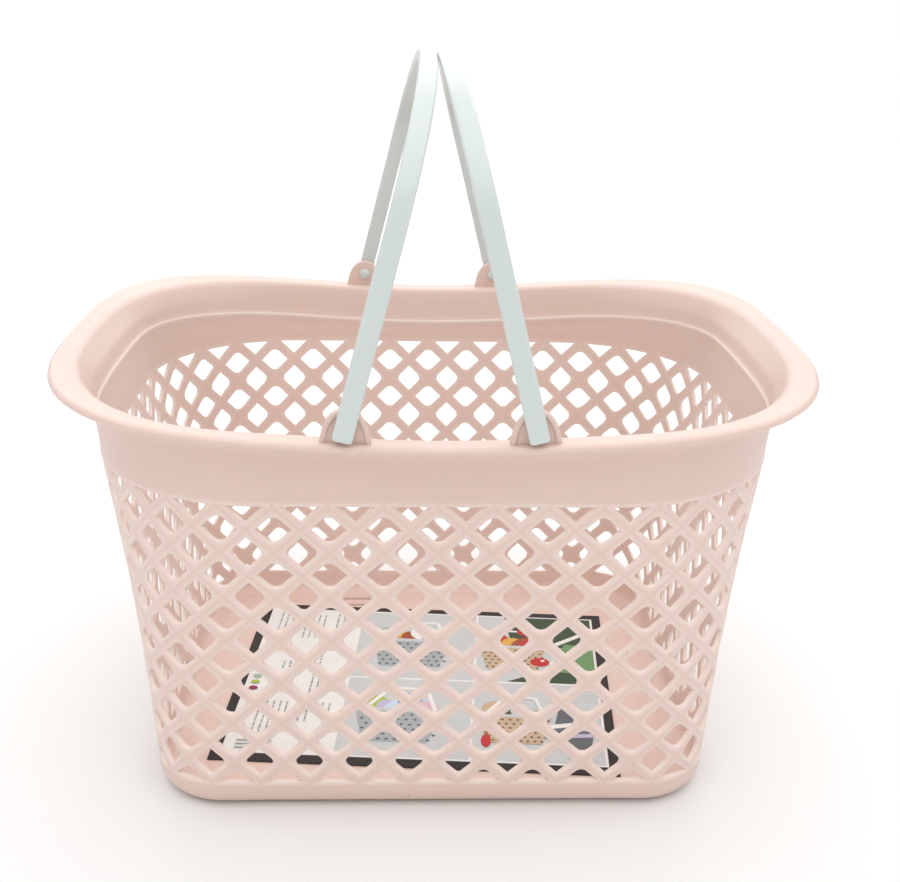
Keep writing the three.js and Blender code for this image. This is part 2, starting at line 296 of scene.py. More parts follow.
def outline(halfX, halfY, cornerX, cornerY, power):
    # a long wall, then a corner curve x = halfX - cornerX + cornerX sin^(2/p), y likewise with cos,
    # then what is left of the end wall, as a quarter from the front's middle to the end's middle
    angle = np.linspace(0, math.pi / 2, 500)
    x = halfX - cornerX * (1 - np.sin(angle) ** (2 / power))
    y = -(halfY - cornerY * (1 - np.cos(angle) ** (2 / power)))
    x = np.concatenate([[0], x, [halfX]])
    y = np.concatenate([[-halfY], y, [0]])
    length = np.concatenate([[0], np.cumsum(np.hypot(np.diff(x), np.diff(y)))])
    return dict(x=x, y=y, length=length)


def along(shape, column):
    # the point of an outline at each column, counted anticlockwise from the middle of the front:
    # the long wall keeps its spacing s, so the distance is s c + (total - s q) (c / q)^3
    count, quarter = tub["columns"], tub["columns"] / 4
    turned = np.mod(column, count)
    fromFront = np.minimum(turned, count - turned)
    folded = np.minimum(fromFront, count / 2 - fromFront)
    spare = shape["length"][-1] - tub["spacing"] * quarter
    distance = tub["spacing"] * folded + spare * (folded / quarter) ** 3
    x = np.interp(distance, shape["length"], shape["x"]) * np.where(turned > count / 2, -1, 1)
    y = np.interp(distance, shape["length"], shape["y"]) * np.where(fromFront > quarter, -1, 1)
    return np.stack([x, y], -1)


def outwardOf(shape, column):
    # unit vector square to the outline, pointing out
    reach = 0.06
    way = along(shape, column + reach) - along(shape, column - reach)
    way /= np.linalg.norm(way, axis=-1, keepdims=True)
    return np.stack([way[..., 1], -way[..., 0]], -1)


topShape = outline(endHigh.x - half, -latticeLow.y - half, tub["topCorner"], tub["topCorner"], 2)
bottomShape = outline(baseHigh.x - half, baseHigh.y - half, tub["bottomCorner"], tub["bottomCorner"], 2)
innerHalfY = bandHigh.y - half
innerShape = outline(bandHigh.x - half, innerHalfY, tub["innerCorner"][0], innerHalfY, tub["innerCorner"][1])
outerShape = outline(lipHigh.x, lipHigh.y, tub["outerCorner"][0], lipHigh.y, tub["outerCorner"][1])


def wallPoint(column, row, out):
    # straight blend between the bottom and top outlines at the same column, moved out square to it
    column, row, out = np.broadcast_arrays(column, row, out)
    share = (row / tub["halfRows"])[..., None]
    plan = along(topShape, column) * (1 - share) + along(bottomShape, column) * share
    normal = outwardOf(topShape, column) * (1 - share) + outwardOf(bottomShape, column) * share
    plan = plan + normal * out[..., None]
    z = latticeTopZ + (latticeBottomZ - latticeTopZ) * share
    return np.concatenate([plan, z], -1).reshape(-1, 3)


# lattice tiles: every hole sits in a diamond tile one pitch wide and two half rows high

hole = dict(
    tip=0.335,        # half size towards the pointed ends, in pitches
    round=0.155,      # radius of the two rounded corners, in pitches
    edge=0.042,       # width of the softened outer edge, in pitches
    edgeDepth=0.0009,
    margin=0.12,      # plain strip between the cut holes and the bands, in pitches
    shine=(0.0, 0.7, 1.0, 0.4, 0.0),    # painted highlight: how much each of a tile's five rings is lightened
)


def holeQuarter(grow):
    # from the pointed tip to the top of the rounded corner: a straight side, then an eighth of a circle
    tip = hole["tip"] + grow * math.sqrt(2)
    radius = hole["round"] + grow
    centre = tip - radius * math.sqrt(2)
    angle = np.radians([45, 67.5, 90])
    arc = np.stack([radius * np.cos(angle), centre + radius * np.sin(angle)], -1)
    start = np.array([[tip, 0]])
    return np.concatenate([start, (start + arc[:1]) / 2, arc])


def wholeLoop(quarter):
    # a quarter mirrored into a closed loop, anticlockwise from the right-hand tip
    upper = np.concatenate([quarter, (quarter * [-1, 1])[-2::-1]])
    return np.concatenate([upper, (upper * [1, -1])[-2:0:-1]])


tileQuarter = np.stack([np.linspace(0.5, 0, 5), np.linspace(0, 0.5, 5)], -1)


def tileRings(loops):
    # the five rings of one tile: outer face, edge start, hole edge, inner hole edge, inner face
    border, soft, sharp = loops
    levels = [(border, half), (soft, half), (sharp, half - hole["edgeDepth"]),
              (sharp, -half), (border, -half)]
    flat = np.stack([loop for loop, _ in levels])
    out = np.array([level for _, level in levels])[:, None].repeat(flat.shape[1], 1)
    return flat, out


def placeTiles(loops, columns, rows):
    # copies a tile to each centre, as whole arrays, and joins each ring to the next
    flat, out = tileRings(loops)
    column = columns[:, None, None] + flat[None, ..., 0]
    row = rows[:, None, None] - 2 * flat[None, ..., 1]
    points = wallPoint(column, row, out[None])
    ringCount, size = out.shape
    tile = np.arange(len(columns))[:, None, None] * ringCount * size
    ring = np.arange(ringCount - 1)[None, :, None] * size
    place = np.arange(size)[None, None, :]
    ahead = (place + 1) % size
    here, after = tile + ring, tile + ring + size
    corners = [here + place, after + place, after + ahead, here + ahead]
    # the painted highlight of every point, ring by ring, from the shine values
    edge = np.tile(np.repeat(hole["shine"], size), len(columns))
    return points, np.stack(corners, -1).reshape(-1, 4), edge


def wideLoops():
    # pointed left and right, rounded above and below
    return [wholeLoop(tileQuarter), wholeLoop(holeQuarter(hole["edge"])), wholeLoop(holeQuarter(0))]


def tallLoops():
    # the wide hole turned a quarter, so that its loop still starts at the right-hand side
    return [np.roll(loop[:, ::-1] * [1, -1], 4, axis=0) for loop in wideLoops()]


def cutTopLoops():
    # the lower half of a sharp diamond under the upper band, with a straight top edge
    tip, edge, margin = hole["tip"], hole["edge"], hole["margin"]
    side = np.linspace(0, 1, 5)[1:-1]

    def loop(reach, top, corner, near):
        upper = np.linspace(corner, -corner, 5)
        right = [[near[0], near[1]]]
        across = np.stack([upper, np.full(5, top)], -1)
        left = [[-near[0], near[1]]]
        fall = np.stack([-near[0] + near[0] * side, near[1] + (-reach - near[1]) * side], -1)
        bottom = [[0, -reach]]
        rise = (fall * [-1, 1])[::-1]
        return np.concatenate([right, across, left, fall, bottom, rise])

    border = loop(0.5, margin, 0.5, (0.5, 0.0))
    soft = loop(tip + edge * math.sqrt(2), edge, tip + edge * 2.4, (tip + edge * 0.4, -edge))
    sharp = loop(tip, 0.0, tip, (tip - 0.03, -0.03))
    return [border, soft, sharp]


def cutBottomLoops():
    # the upper half of a wide hole above the base band, with a straight bottom edge
    tip, edge, margin = hole["tip"], hole["edge"], hole["margin"]

    def loop(quarter, base, corner):
        arch = np.concatenate([quarter, (quarter * [-1, 1])[-2::-1]])
        across = np.stack([np.linspace(-corner, corner, 5), np.full(5, base)], -1)
        return np.concatenate([arch, across])

    border = loop(tileQuarter, -margin, 0.5)
    softQuarter, sharpQuarter = holeQuarter(edge), holeQuarter(0)
    softQuarter[0] = [tip + edge * 1.2, edge * 0.2]
    sharpQuarter[0] = [tip - 0.02, 0.02]
    soft = loop(softQuarter, -edge, tip + edge * 2.4)
    sharp = loop(sharpQuarter, 0.0, tip)
    return [border, soft, sharp]


def latticeParts():
    # wide holes on odd half rows, tall holes on even ones, and cut holes along the two bands
    columns = np.arange(tub["columns"], dtype=float)
    last = tub["halfRows"]
    wideColumns, wideRows = np.meshgrid(columns, np.arange(1, last, 2, dtype=float))
    tallColumns, tallRows = np.meshgrid(columns + 0.5, np.arange(2, last, 2, dtype=float))
    return [
        placeTiles(wideLoops(), wideColumns.ravel(), wideRows.ravel()),
        placeTiles(tallLoops(), tallColumns.ravel(), tallRows.ravel()),
        placeTiles(cutTopLoops(), columns + 0.5, np.zeros(len(columns))),
        placeTiles(cutBottomLoops(), columns, np.full(len(columns), float(last))),
    ]


# bands, rim and floor: sections swept round the basket at every quarter column

stations = np.arange(tub["columns"] * 4) / 4

rim = dict(
    lipThickness=0.0032,
    edgeDrop=0.0044,       # from the lip's top to the lowest edge of the frame's lip
    longRadius=0.0030,     # soft inner edge along the long sides
    endRadius=0.0075,      # and at the two ends
    underRadius=0.004,
    underGap=0.0004,       # the turn under the lip ends this far above twice the lip's thickness
    innerDrop=0.0003,      # the lip's inner side lies this much below its outer side
    endDrop=0.0012,        # and this much more at the two ends
    lineDrop=0.0207,       # the raised line lies this far below the lip
    lineLift=0.0008,
    lineWidth=0.0010,
    paintedLineHighlight=(0.0, 0.5, 1.0, 1.0, 0.6, 0.0),    # painted highlight on each ring of the raised line
)
rimMiddle = lipLow.z + rim["edgeDrop"]
rimRise = lipHigh.z - rimMiddle


def sweepPoint(shape, out, z):
    # the outline's point at every station, moved out square to it, at height z
    plan = along(shape, stations) + outwardOf(shape, stations) * np.broadcast_to(out, stations.shape)[:, None]
    return np.concatenate([plan, np.broadcast_to(z, stations.shape)[:, None]], -1)


def mixPoint(shapeA, shapeB, share, out, z):
    # (1 - share) of the first outline's points and share of the second's
    share = np.broadcast_to(share, stations.shape)[:, None]
    return sweepPoint(shapeA, out, z) * (1 - share) + sweepPoint(shapeB, out, z) * share


def lipTop():
    # the saddle: lowest at the middle of the long sides, rising with |x|^p to the ends
    reach = np.abs(along(outerShape, stations)[:, 0]) / lipHigh.x
    return rimMiddle + rimRise * reach ** tub["risePower"]


def bandPoint(share, out):
    # the band leans like the wall at first and flares towards the rim: sideways 0.35 s + 0.65 s^3
    top = lipTop() - rim["lipThickness"]
    z = latticeTopZ + (top - latticeTopZ) * share
    return mixPoint(topShape, innerShape, 0.35 * share + 0.65 * share ** 3, out, z)


def upperRings():
    # rings from the lattice's outer face up the outside, round the lip, and down the inside past the
    # raised line to the lattice's inner face, and the painted highlight on each ring's points
    top = lipTop()
    bandHeight = top - rim["lipThickness"] - latticeTopZ
    endness = np.clip((np.abs(along(outerShape, stations)[:, 0]) / lipHigh.x - 0.35) / 0.6, 0, 1)
    endness = endness * endness * (3 - 2 * endness)
    softRadius = rim["longRadius"] + (rim["endRadius"] - rim["longRadius"]) * endness
    margin = hole["margin"] * 2
    marginShare = margin / tub["halfRows"] * (latticeTopZ - latticeBottomZ) / bandHeight

    def bandRing(low, high, step, out):
        return bandPoint(low + (high - low) * step, out)

    rings = [wallPoint(stations, -margin, half)]
    underShare = 1 - (rim["lipThickness"] + rim["underRadius"]) / bandHeight
    rings += [bandRing(marginShare, underShare, step, half) for step in np.linspace(0.15, 1, 8)]
    underside = top - 2 * rim["lipThickness"] + rim["underGap"]
    for angle in np.radians([30, 60, 90]):        # concave turn under the lip
        out = half + rim["underRadius"] * (1 - math.cos(angle))
        z = underside - rim["underRadius"] * (1 - math.sin(angle))
        rings.append(mixPoint(topShape, innerShape, 1, out, z))
    edge = [(-0.0030, -0.0036), (-0.0021, -0.0039), (-0.0010, -0.0037), (-0.0003, -0.0030),
            (0.0, -0.0021), (-0.0003, -0.0011), (-0.0010, -0.0004), (-0.0022, 0.0)]
    for out, drop in edge:                        # the hanging outer edge, from underneath to the top
        rings.append(sweepPoint(outerShape, out, top + drop))
    innerOut = softRadius - half
    innerTop = top - rim["innerDrop"] - rim["endDrop"] * endness
    for share in (0.25, 0.5, 0.75, 1.0):          # top of the lip, from its outer edge inwards
        outerPart = sweepPoint(outerShape, edge[-1][0], top)
        innerPart = sweepPoint(innerShape, innerOut, innerTop)
        rings.append(outerPart * (1 - share) + innerPart * share)
    for angle in np.radians([72, 54, 36, 18]):    # soft turn down into the tub
        out = innerOut - softRadius * math.cos(angle)
        z = innerTop - softRadius * (1 - math.sin(angle))
        rings.append(sweepPoint(innerShape, out, z))
    turnShare = np.minimum((innerTop - softRadius - latticeTopZ) / bandHeight, 0.97)
    lineShare = (top - rim["lineDrop"] - latticeTopZ) / bandHeight
    crest = rim["lineWidth"] / 2 / bandHeight
    for step in (0.2, 0.45, 0.7):                 # inside of the band above the raised line
        rings.append(bandRing(turnShare, lineShare, step, -half))
    line = [(3.0, 0.0), (1.4, 0.5), (0.5, 1.0), (-0.5, 1.0), (-2.4, 0.5), (-6.0, 0.0)]
    before = len(rings)
    rings += [bandPoint(lineShare + crest * away, -half - rim["lineLift"] * lift) for away, lift in line]
    lineEnd = lineShare + line[-1][0] * crest
    rings += [bandRing(lineEnd, marginShare, step, -half) for step in (0.3, 0.6, 0.85)]
    rings.append(wallPoint(stations, -margin, -half))
    # a painted highlight along the raised line's crest, where the ridge would catch the light
    shine = np.zeros(len(rings))
    shine[before:before + len(line)] = rim["paintedLineHighlight"]
    return rings, np.repeat(shine, len(stations))


base = dict(
    outer=(0.0110, 0.0100, 0.0012),    # height and width of the rounded edge, distance out where it starts
    inner=(0.0060, 0.0060, -0.0012),
    steps=8,
)


def baseProfile(shape, lowest):
    # a quarter of an ellipse: z = lowest + h (1 - sin a), out = start - w (1 - cos a)
    height, width, start = shape
    angle = np.linspace(0, math.pi / 2, base["steps"])
    return list(zip(lowest + height * (1 - np.sin(angle)), start - width * (1 - np.cos(angle))))


def baseRow(z):
    # the row number, counted down from the lattice's top, that lies at height z
    return (latticeTopZ - z) / (latticeTopZ - latticeBottomZ) * tub["halfRows"]


def baseRings():
    # outer and inner skins of the base, from the lattice's last row round to the flat floor
    margin = hole["margin"] * 2
    start = tub["halfRows"] + margin
    outer = [wallPoint(stations, start, half)]
    outer += [wallPoint(stations, baseRow(z), out) for z, out in baseProfile(base["outer"], floorLow.z)]
    inner = [wallPoint(stations, start, -half)]
    inner += [wallPoint(stations, baseRow(z), out) for z, out in baseProfile(base["inner"], floorHigh.z)]
    return outer, inner


slots = dict(
    count=3,
    width=0.0034,
    length=0.026,
    pitch=0.009,
    centre=(-0.0465, 0.0978),
    corners=16,            # points round one slot
)


def slotLoop(index, z):
    # a long slot with round ends: x = centre + r cos a + the end's distance, y = centre + r sin a
    corners = slots["corners"]
    angle = (np.arange(corners) + 0.5) * 2 * math.pi / corners
    radius = slots["width"] / 2
    apart = np.where(np.cos(angle) >= 0, 1, -1) * (slots["length"] / 2 - radius)
    x = slots["centre"][0] + radius * np.cos(angle) + apart
    y = slots["centre"][1] + (index - (slots["count"] - 1) / 2) * slots["pitch"] + radius * np.sin(angle)
    return np.stack([x, y, np.full(corners, z)], -1)


def flatFill(border, loops):
    # a flat sheet between a border loop and the slot loops, filled with triangles
    shape = bmesh.new()
    edges = []
    for ring in [border] + loops:
        corners = [shape.verts.new(point) for point in ring]
        edges += [shape.edges.new((a, b)) for a, b in zip(corners, corners[1:] + corners[:1])]
    bmesh.ops.triangle_fill(shape, edges=edges, use_beauty=True, use_dissolve=False)
    shape.verts.index_update()
    points = np.array([v.co[:] for v in shape.verts])
    faces = [[v.index for v in face.verts] for face in shape.faces]
    shape.free()
    return points, faces


def makeTub():
    # lattice, bands, rim, base, floor and slots welded into one seamless shell
    parts = latticeParts()
    rings, shine = upperRings()
    parts.append((*stackRings(rings), shine))
    outer, inner = baseRings()
    parts.append(stackRings(outer))
    parts.append(stackRings(inner))
    topLoops = [slotLoop(i, floorHigh.z) for i in range(slots["count"])]
    underLoops = [slotLoop(i, floorLow.z) for i in range(slots["count"])]
    parts.append(flatFill(inner[-1], topLoops))
    parts.append(flatFill(outer[-1], underLoops))
    parts += [stackRings([upper, lower]) for upper, lower in zip(topLoops, underLoops)]
    points, faces = joinParts([part[:2] for part in parts])
    # the painted highlight of every point: on hole edges and the raised line, none on the base and floor
    edge = np.concatenate([part[2] if len(part) > 2 else np.zeros(len(part[0])) for part in parts])
    piece = makePiece("basketTub", points, faces, tubPlastic, weld=2e-6, edge=edge)
    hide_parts("floor_plate", "base_band", "upper_band", "rim_lip",
                *[name for name in frame["nodes"] if name.startswith("lattice_")])
    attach(piece, "basket")
    return piece


tubPiece = makeTub()
print("tub:", len(tubPiece.data.polygons), "faces")

# ears

ear = dict(
    border=0.0024,         # width of the raised border on the outer face
    recess=0.0011,         # depth of the recess inside it
    soft=0.0008,           # rounding of the edges
    sink=0.0030,           # how far the foot goes into the lip
    flare=0.0005,          # the foot widens by this much just above the lip
    flareRise=0.004,       # and up to this height
    hole=0.0029,           # radius of the hole for the peg
    arcSteps=40,
    footSteps=16,
)
joints = {joint["name"]: joint for joint in frame["joints"]}
pivotZ = joints["left_handle_swing"]["pos_m"][2]
earLow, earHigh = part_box("ear_back_left")


def earOutline(inset):
    # half an ellipse x = a cos t, z = b sin t on the lip, flared at its foot, closed by a line in the lip
    height = earHigh.z - earLow.z
    angle = np.linspace(0, math.pi, ear["arcSteps"] + 1)
    halfWidth = (earHigh.x - earLow.x) / 2 - inset
    rise = (height - inset) * np.sin(angle)
    spread = ear["flare"] * np.clip(1 - rise / ear["flareRise"], 0, 1) ** 2 * np.sign(np.cos(angle))
    arc = np.stack([halfWidth * np.cos(angle) + spread, earLow.z + rise], -1)
    reach = halfWidth + ear["flare"]
    foot = np.linspace(-reach, reach, ear["footSteps"] + 2)
    line = np.stack([foot, np.full(len(foot), earLow.z - ear["sink"])], -1)
    return np.concatenate([arc, line])


def pinRing():
    # a circle round the pivot whose points face the outline's points
    outer = earOutline(0)
    way = outer - [0, pivotZ]
    way /= np.linalg.norm(way, axis=1, keepdims=True)
    return way * ear["hole"] + [0, pivotZ]


def makeEar(node):
    # one closed section carried round the outline: inner face, soft edges, border, recess and peg hole,
    # each level being an outline and how deep it lies
    low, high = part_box(node)
    centreX = (low.x + high.x) / 2
    outward = 1 if low.y > 0 else -1
    innerY, outerY = (low.y, high.y) if outward > 0 else (high.y, low.y)
    pin, soft, border = pinRing(), ear["soft"], ear["border"]
    levels = [
        (pin, innerY), (earOutline(soft), innerY), (earOutline(soft * 0.3), innerY + outward * soft * 0.3),
        (earOutline(0), innerY + outward * soft), (earOutline(0), outerY - outward * soft),
        (earOutline(soft * 0.3), outerY - outward * soft * 0.3), (earOutline(soft), outerY),
        (earOutline(border - soft * 0.6), outerY), (earOutline(border), outerY - outward * soft * 0.5),
        (earOutline(border + soft * 0.4), outerY - outward * ear["recess"]),
        (pin, outerY - outward * ear["recess"]),
    ]
    rings = [np.stack([centreX + flat[:, 0], np.full(len(flat), y), flat[:, 1]], -1) for flat, y in levels]
    points, faces = stackRings(rings, closed=True)
    words = node.split("_")
    piece = makePiece("ear" + words[1].title() + words[2].title(), points, faces, tubPlastic)
    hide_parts(node)
    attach(piece, "basket")


for earNode in ("ear_front_left", "ear_front_right", "ear_back_left", "ear_back_right"):
    makeEar(earNode)
print("ears done")

# handles

bar = dict(
    width=0.0090,
    thickness=0.0055,
    corner=0.0012,         # rounding along the bar's edges
    endCorner=0.0014,      # and at the square ends of the arms
    armEnd=0.0052,         # below the pivot
    straight=0.6,          # the straight part of the arch's height
    power=2.3,
    height=0.1486,
    gap=0.0004,            # between an arm and its ear
    gripGap=0.0002,        # from each bar to the middle, where the two handles meet
    endPinch=0.2,          # how much thinner the very end of an arm is, as a share
    endPinchReach=0.0008,
    steps=44,
)
peg = dict(
    radius=0.0026,
    root=0.0006,           # how far the shaft starts inside the arm
    clearance=0.0003,      # between the ear and the knob
    knobRadius=0.0034,
    knobLength=0.0024,
    knobEdge=0.0005,       # softened edge between the knob's back and its dome
    corners=28,
)
armY = earHigh.y + bar["gap"] + bar["thickness"] / 2


def archPath():
    # from the end of the front arm to the top and down again: straight, then a superellipse
    top, straight = bar["height"], bar["height"] * bar["straight"]
    arm = -bar["armEnd"] + np.array([0.0, 0.00015, 0.0004, 0.0008, 0.0014, 0.0022, 0.0040])
    rise = np.linspace(0.004, straight, 10)
    heights = np.concatenate([arm, rise])
    lower = np.stack([np.full(len(heights), armY), heights], -1)
    angle = np.linspace(0, math.pi / 2, bar["steps"] + 1)[1:]
    y = armY * np.clip(np.cos(angle), 0, 1) ** (2 / bar["power"])
    z = straight + (top - straight) * np.sin(angle) ** (2 / bar["power"])
    halfPath = np.concatenate([lower, np.stack([y, z], -1)])
    halfPath[-1, 0] = 0
    return np.concatenate([halfPath * [-1, 1], halfPath[-2::-1]])


def barSection():
    # a rounded rectangle, width along x and thickness along the second axis
    x, t, r = bar["width"] / 2, bar["thickness"] / 2, bar["corner"]
    angle = np.radians([0, 22.5, 45, 67.5, 90])
    corner = np.stack([x - r + r * np.cos(angle), t - r + r * np.sin(angle)], -1)
    upper = np.concatenate([corner, (corner * [-1, 1])[::-1]])
    return np.concatenate([upper, -upper])


def handleParts():
    # the rounded section carried along the arch, square to it, narrowing at its two square ends
    path = archPath()
    way = np.gradient(path, axis=0)
    way /= np.linalg.norm(way, axis=1, keepdims=True)
    section = barSection()
    distance = np.concatenate([[0], np.cumsum(np.linalg.norm(np.diff(path, axis=0), axis=1))])
    toEnd = np.minimum(distance, distance[-1] - distance)
    r = bar["endCorner"]
    lift = np.clip(1 - toEnd / r, 0, 1)
    pull = r * (1 - np.sqrt(1 - lift ** 2)) * 0.98      # corners of the square end are rounded off
    width = 1 - pull / (bar["width"] / 2)
    thin = 1 - np.clip(1 - toEnd / bar["endPinchReach"], 0, 1) ** 2 * bar["endPinch"]
    x = section[None, :, 0] * width[:, None]
    t = section[None, :, 1] * thin[:, None]
    y = path[:, None, 0] - way[:, None, 1] * t
    z = path[:, None, 1] + way[:, None, 0] * t
    rings = list(np.stack([x, y, z], -1))
    points, quads = stackRings(rings)
    size = len(section)
    caps = [list(range(size))[::-1], list(range(len(points) - size, len(points)))]
    return points, quads.tolist() + caps


def pegParts(sign):
    # a shaft from the arm through the ear, with a domed knob on the inner side, turned round y
    knobY = earLow.y - peg["clearance"]
    root = armY - bar["thickness"] / 2 + peg["root"]
    shaft, knob, length, soft = peg["radius"], peg["knobRadius"], peg["knobLength"], peg["knobEdge"]
    dome = np.radians([0, 20, 40, 60, 78])
    radius = np.concatenate([[shaft, shaft, knob * 0.93], knob * np.cos(dome)])
    y = np.concatenate([[root, knobY, knobY], knobY - soft - (length - soft) * np.sin(dome)])
    angle = np.linspace(0, 2 * math.pi, peg["corners"], endpoint=False)
    rings = [np.stack([r * np.cos(angle), np.full(peg["corners"], sign * place), r * np.sin(angle)], -1)
             for r, place in zip(radius, y)]
    points, quads = stackRings(rings)
    cap = list(range(len(points) - peg["corners"], len(points)))
    return points, quads.tolist() + [cap]


def makeHandle(node, body, side):
    # leans about its hinge until the top of its bar reaches the middle of the basket
    hinge = joints[node + "_swing"]["pos_m"]
    reach = bar["height"] + bar["thickness"] / 2
    lean = math.asin((abs(hinge[0]) - bar["gripGap"]) / math.hypot(reach, bar["width"] / 2))
    lean -= math.atan2(bar["width"] / 2, reach)
    place = Matrix.Translation(hinge) @ Matrix.Rotation(-side * lean, 4, "Y")
    points, faces = joinParts([handleParts(), pegParts(-1), pegParts(1)])
    turn = np.array(place.to_3x3())
    points = points @ turn.T + np.array(place.translation)
    piece = makePiece(node.replace("_h", "H"), points, faces, handlePlastic)
    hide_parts(node)
    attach(piece, body)


makeHandle("left_handle", "left_bail", -1)
makeHandle("right_handle", "right_bail", 1)
print("handles done")

# printed card: a black sheet with thin printed layers on it, in its own plan with +Y to the back

card = dict(
    length=0.221,
    depth=0.180,
    turn=-4.5,
    border=0.0055,
    frontBorder=0.0075,
    line=0.0015,           # the white line inside the border and between the panels
    split=-0.0441,         # the plain panel lies to the left of this
    divider=0.0303,
    middle=0.0008,
    layer=0.000015 / 14,   # height of one printed shape above the one before
    room=0.0002,           # how far the black sheet stays below the top of the frame's card
)
inks = dict(
    black=(0.016, 0.010, 0.009), white=(0.86, 0.85, 0.82), pale=(0.60, 0.63, 0.63), grey=(0.40, 0.43, 0.45),
    dark=(0.12, 0.13, 0.15), ink=(0.30, 0.31, 0.32), forest=(0.035, 0.07, 0.028), leaf=(0.16, 0.32, 0.13),
    red=(0.55, 0.02, 0.02), rust=(0.36, 0.07, 0.02), amber=(0.75, 0.42, 0.07), lime=(0.42, 0.54, 0.07),
    magenta=(0.30, 0.01, 0.09), sage=(0.42, 0.56, 0.44), blue=(0.22, 0.36, 0.68), sky=(0.60, 0.72, 0.88),
    lilac=(0.55, 0.50, 0.66), pink=(0.72, 0.50, 0.56), straw=(0.60, 0.45, 0.30), brown=(0.13, 0.07, 0.05),
)


class Print:
    # collects flat shapes, each a little above the one before
    def __init__(self):
        self.points, self.faces, self.colors = [], [], []

    def shape(self, corners, ink):
        # one flat polygon in one ink
        start, level = len(self.points), len(self.colors) * card["layer"]
        self.points += [(x, y, level) for x, y in corners]
        self.faces.append(list(range(start, len(self.points))))
        self.colors.append(inks[ink])

    def box(self, x0, y0, x1, y1, ink):
        self.shape([(x0, y0), (x1, y0), (x1, y1), (x0, y1)], ink)

    def bar(self, x0, y0, x1, y1, width, ink):
        # a straight stroke of an even width
        way = Vector((x1 - x0, y1 - y0)).normalized() * width / 2
        across = Vector((-way.y, way.x))
        start, end = Vector((x0, y0)), Vector((x1, y1))
        corners = (start - across, end - across, end + across, start + across)
        self.shape([tuple(corner) for corner in corners], ink)

    def disc(self, x, y, rx, ry, ink, turn=0.0, steps=20):
        # an ellipse turned by an angle
        angle = np.linspace(0, 2 * math.pi, steps, endpoint=False)
        u, v = rx * np.cos(angle), ry * np.sin(angle)
        cos, sin = math.cos(turn), math.sin(turn)
        self.shape(list(zip(x + u * cos - v * sin, y + u * sin + v * cos)), ink)


def printLines(sheet, random):
    # the plain panel: rows of short grey strokes standing for lines of small print, and three dots
    columns = [(-0.097, 0.030, 0.078, 3), (-0.080, 0.046, 0.076, 4), (-0.068, 0.014, 0.036, 2),
               (-0.060, 0.052, 0.078, 2), (-0.092, -0.062, -0.030, 5), (-0.066, -0.024, 0.002, 2),
               (-0.072, -0.050, -0.034, 3), (-0.056, -0.040, -0.030, 2), (-0.086, 0.006, 0.016, 3)]
    for left, low, high, rows in columns:
        for row in range(rows):
            x, y = left + row * 0.0038, high
            while y > low:
                length = random.uniform(0.0016, 0.0042)
                ink = "ink" if random.random() < 0.7 else "grey"
                sheet.bar(x, y, x, max(y - length, low), 0.0008, ink)
                y -= length + random.uniform(0.0008, 0.0018)
    for y in (-0.071, -0.0745, -0.078):
        sheet.bar(-0.0985, y, -0.079, y, 0.0011, "grey")
    for y, ink in ((-0.0028, "sage"), (-0.0097, "lime"), (-0.0166, "magenta")):
        sheet.disc(-0.0994, y, 0.0026, 0.0021, ink)


def drawBasket(sheet, x, y, size, body, items, random):
    # a generic picture: a tapered basket with a woven side, filled with blobs, and a light handle
    def at(u, v):
        return x + u * size, y + v * size

    for index, ink in enumerate(items):
        u = -0.36 + 0.72 * (index + 0.5) / len(items)
        centre = at(u + random.uniform(-0.04, 0.04), 0.30 + random.uniform(-0.05, 0.12))
        sheet.disc(*centre, size * random.uniform(0.12, 0.19), size * random.uniform(0.14, 0.24), ink,
                   turn=random.uniform(-0.9, 0.9), steps=12)
    sheet.shape([at(-0.36, -0.42), at(0.36, -0.42), at(0.5, 0.22), at(-0.5, 0.22)], body)
    for row in range(6):
        for column in range(9):
            v = -0.36 + row * 0.1
            u = (-0.36 + 0.09 * column + 0.045 * (row % 2)) * (1 + 0.28 * (v + 0.42))
            low, high = at(u - 0.026, v - 0.026), at(u + 0.026, v + 0.026)
            sheet.shape([(low[0], y + v * size), (x + u * size, low[1]), (high[0], y + v * size),
                         (x + u * size, high[1])], "brown" if body == "straw" else "dark")
    sheet.bar(*at(-0.52, 0.24), *at(0.52, 0.24), size * 0.07, "pale")
    sheet.bar(*at(-0.40, 0.24), *at(-0.12, 0.72), size * 0.05, "white")
    sheet.bar(*at(-0.12, 0.72), *at(0.30, 0.70), size * 0.05, "white")
    sheet.bar(*at(0.30, 0.70), *at(0.42, 0.24), size * 0.05, "white")


